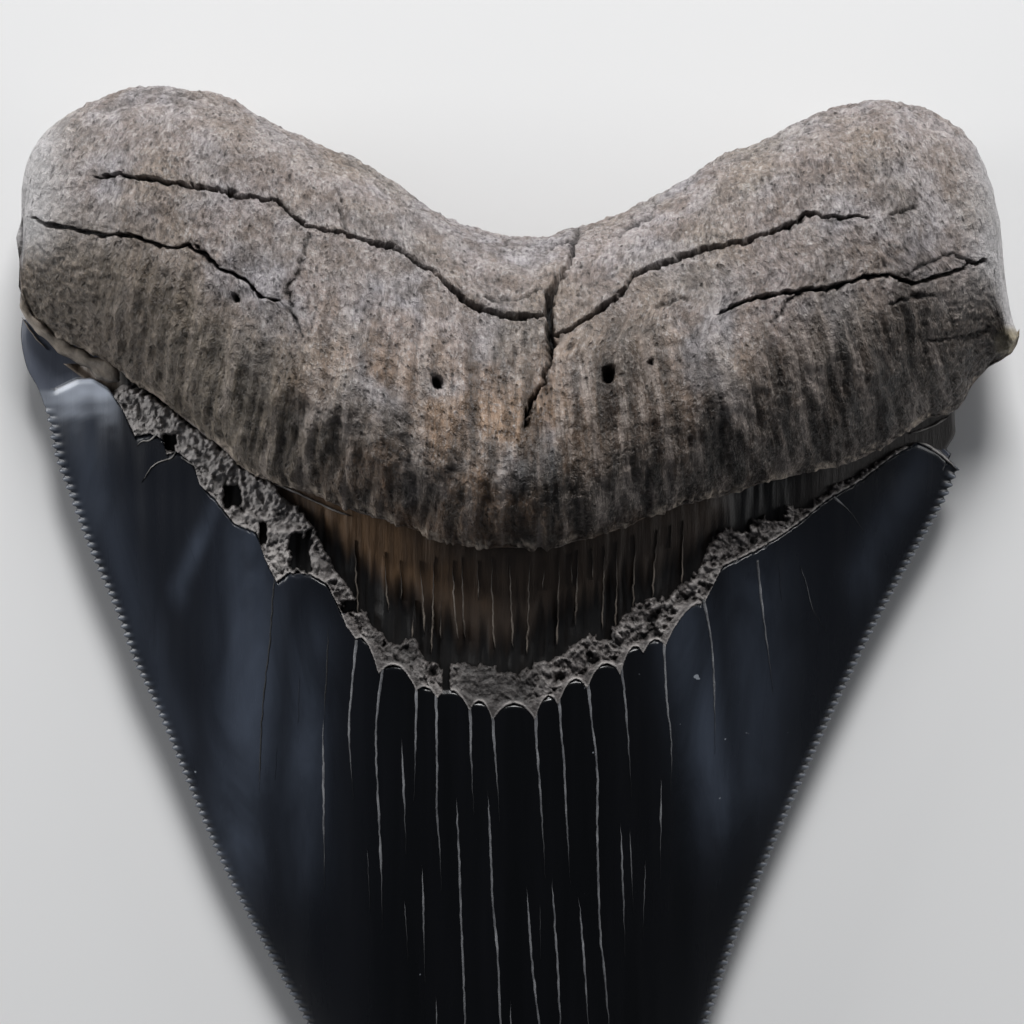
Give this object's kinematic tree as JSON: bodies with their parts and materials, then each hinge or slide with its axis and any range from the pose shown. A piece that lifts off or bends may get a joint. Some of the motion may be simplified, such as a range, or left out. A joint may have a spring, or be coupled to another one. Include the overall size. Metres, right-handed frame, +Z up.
{
  "type": "fossil megalodon tooth",
  "caption": "Large triangular fossil shark tooth with a heavy two-lobed root, a torn enamel rim and serrated cutting edges, lying on its flatter face.",
  "frame": {"origin": "middle of the underside of the tooth's box, on the surface that the tooth lies on", "axes": "+Z up through the lingual face, +Y from the tip to the root, +X to the right seen from above"},
  "size_m": [0.1094, 0.1538, 0.0267],
  "materials": {
    "root_bone": "matte",
    "enamel": "gloss",
    "bare_dentine": "matte",
    "crust": "matte"
  },
  "bodies": {
    "root": {"tooth": "root_bone"}
  },
  "joints": []
}
